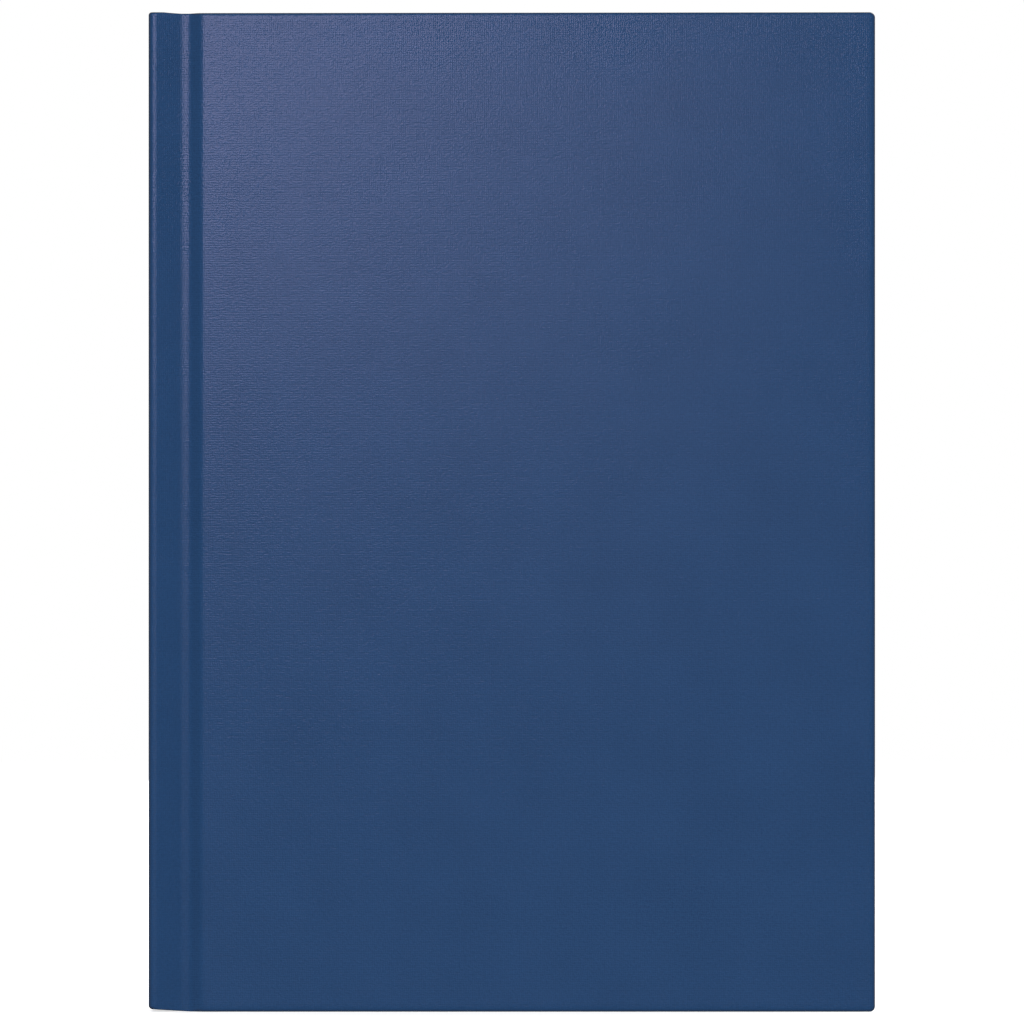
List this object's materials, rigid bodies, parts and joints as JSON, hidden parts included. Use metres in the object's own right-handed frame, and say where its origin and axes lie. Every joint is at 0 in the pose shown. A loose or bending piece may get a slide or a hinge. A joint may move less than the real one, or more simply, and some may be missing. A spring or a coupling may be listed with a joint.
{
  "type": "pilot logbook",
  "caption": "Case-bound logbook: cloth-covered boards and square spine with grooved joints, opening on sewn sections, endpapers and headbands.",
  "frame": {"origin": "middle of the footprint of the closed book standing on its tail, on the surface that it stands on", "axes": "+Z from tail to head, +Y from the front cover to the back cover, -X is the spine side and +X the fore-edge side"},
  "size_m": [0.157, 0.0154, 0.216],
  "materials": {
    "cover_cloth": "fine linen-grain bookcloth with a satin coat",
    "greyboard": "matt",
    "endpaper": "matt",
    "page_paper": "matt",
    "mull": "open weave",
    "kraft": "matt",
    "thread": "waxed linen",
    "headband": "woven, striped"
  },
  "bodies": {
    "root": {"spine_board": "greyboard", "spine_cloth": "cover_cloth", "front_joint_cloth": "cover_cloth", "back_joint_cloth": "cover_cloth", "front_endpaper_fold": "endpaper", "back_endpaper_fold": "endpaper", "front_mull_joint": "mull", "back_mull_joint": "mull", "section_gutters": "page_paper", "section_folds": "page_paper", "sewing_thread": "thread", "spine_mull": "mull", "spine_lining": "kraft", "headband_head": "headband", "headband_tail": "headband"},
    "front_cover": {"front_board": "greyboard", "front_cover_cloth": "cover_cloth", "front_pastedown": "endpaper", "front_mull_flange": "mull"},
    "front_flyleaf": {"front_flyleaf": "endpaper"},
    "section_01": {"section_01": "page_paper"},
    "section_02": {"section_02": "page_paper"},
    "section_03": {"section_03": "page_paper"},
    "section_04": {"section_04": "page_paper"},
    "section_05": {"section_05": "page_paper"},
    "back_cover": {"back_board": "greyboard", "back_cover_cloth": "cover_cloth", "back_pastedown": "endpaper", "back_mull_flange": "mull"},
    "back_flyleaf": {"back_flyleaf": "endpaper"},
    "section_10": {"section_10": "page_paper"},
    "section_09": {"section_09": "page_paper"},
    "section_08": {"section_08": "page_paper"},
    "section_07": {"section_07": "page_paper"},
    "section_06": {"section_06": "page_paper"}
  },
  "joints": [
    {"name": "front_cover_hinge", "type": "hinge", "parent": "root", "child": "front_cover", "pos_m": [-0.074, -0.0063, 0.108], "axis": [0, 0, -1], "range_deg": [0, 178], "deforming": ["front_joint_cloth", "front_endpaper_fold", "front_mull_joint", "section_gutters"]},
    {"name": "front_flyleaf_turn", "type": "hinge", "parent": "root", "child": "front_flyleaf", "pos_m": [-0.074, -0.00486, 0.108], "axis": [0, 0, -1], "range_deg": [0, 148.83]},
    {"name": "section_01_turn", "type": "hinge", "parent": "root", "child": "section_01", "pos_m": [-0.074, -0.00426, 0.108], "axis": [0, 0, -1], "range_deg": [0, 124.11]},
    {"name": "section_02_turn", "type": "hinge", "parent": "root", "child": "section_02", "pos_m": [-0.074, -0.00331, 0.108], "axis": [0, 0, -1], "range_deg": [0, 99.39]},
    {"name": "section_03_turn", "type": "hinge", "parent": "root", "child": "section_03", "pos_m": [-0.074, -0.00236, 0.108], "axis": [0, 0, -1], "range_deg": [0, 74.67]},
    {"name": "section_04_turn", "type": "hinge", "parent": "root", "child": "section_04", "pos_m": [-0.074, -0.00142, 0.108], "axis": [0, 0, -1], "range_deg": [0, 49.94]},
    {"name": "section_05_turn", "type": "hinge", "parent": "root", "child": "section_05", "pos_m": [-0.074, -0.00047, 0.108], "axis": [0, 0, -1], "range_deg": [0, 25.22]},
    {"name": "back_cover_hinge", "type": "hinge", "parent": "root", "child": "back_cover", "pos_m": [-0.074, 0.0063, 0.108], "axis": [0, 0, 1], "range_deg": [0, 178], "deforming": ["back_joint_cloth", "back_endpaper_fold", "back_mull_joint"]},
    {"name": "back_flyleaf_turn", "type": "hinge", "parent": "root", "child": "back_flyleaf", "pos_m": [-0.074, 0.00486, 0.108], "axis": [0, 0, 1], "range_deg": [0, 148.83]},
    {"name": "section_10_turn", "type": "hinge", "parent": "root", "child": "section_10", "pos_m": [-0.074, 0.00426, 0.108], "axis": [0, 0, 1], "range_deg": [0, 124.11]},
    {"name": "section_09_turn", "type": "hinge", "parent": "root", "child": "section_09", "pos_m": [-0.074, 0.00331, 0.108], "axis": [0, 0, 1], "range_deg": [0, 99.39]},
    {"name": "section_08_turn", "type": "hinge", "parent": "root", "child": "section_08", "pos_m": [-0.074, 0.00236, 0.108], "axis": [0, 0, 1], "range_deg": [0, 74.67]},
    {"name": "section_07_turn", "type": "hinge", "parent": "root", "child": "section_07", "pos_m": [-0.074, 0.00142, 0.108], "axis": [0, 0, 1], "range_deg": [0, 49.94]},
    {"name": "section_06_turn", "type": "hinge", "parent": "root", "child": "section_06", "pos_m": [-0.074, 0.00047, 0.108], "axis": [0, 0, 1], "range_deg": [0, 25.22]}
  ],
  "couplings": [
    {"joint": "front_flyleaf_turn", "follows": "front_cover_hinge", "ratio": 0.83333},
    {"joint": "section_01_turn", "follows": "front_cover_hinge", "ratio": 0.69444},
    {"joint": "section_02_turn", "follows": "front_cover_hinge", "ratio": 0.55556},
    {"joint": "section_03_turn", "follows": "front_cover_hinge", "ratio": 0.41667},
    {"joint": "section_04_turn", "follows": "front_cover_hinge", "ratio": 0.27778},
    {"joint": "section_05_turn", "follows": "front_cover_hinge", "ratio": 0.13889},
    {"joint": "back_flyleaf_turn", "follows": "back_cover_hinge", "ratio": 0.83333},
    {"joint": "section_10_turn", "follows": "back_cover_hinge", "ratio": 0.69444},
    {"joint": "section_09_turn", "follows": "back_cover_hinge", "ratio": 0.55556},
    {"joint": "section_08_turn", "follows": "back_cover_hinge", "ratio": 0.41667},
    {"joint": "section_07_turn", "follows": "back_cover_hinge", "ratio": 0.27778},
    {"joint": "section_06_turn", "follows": "back_cover_hinge", "ratio": 0.13889}
  ]
}
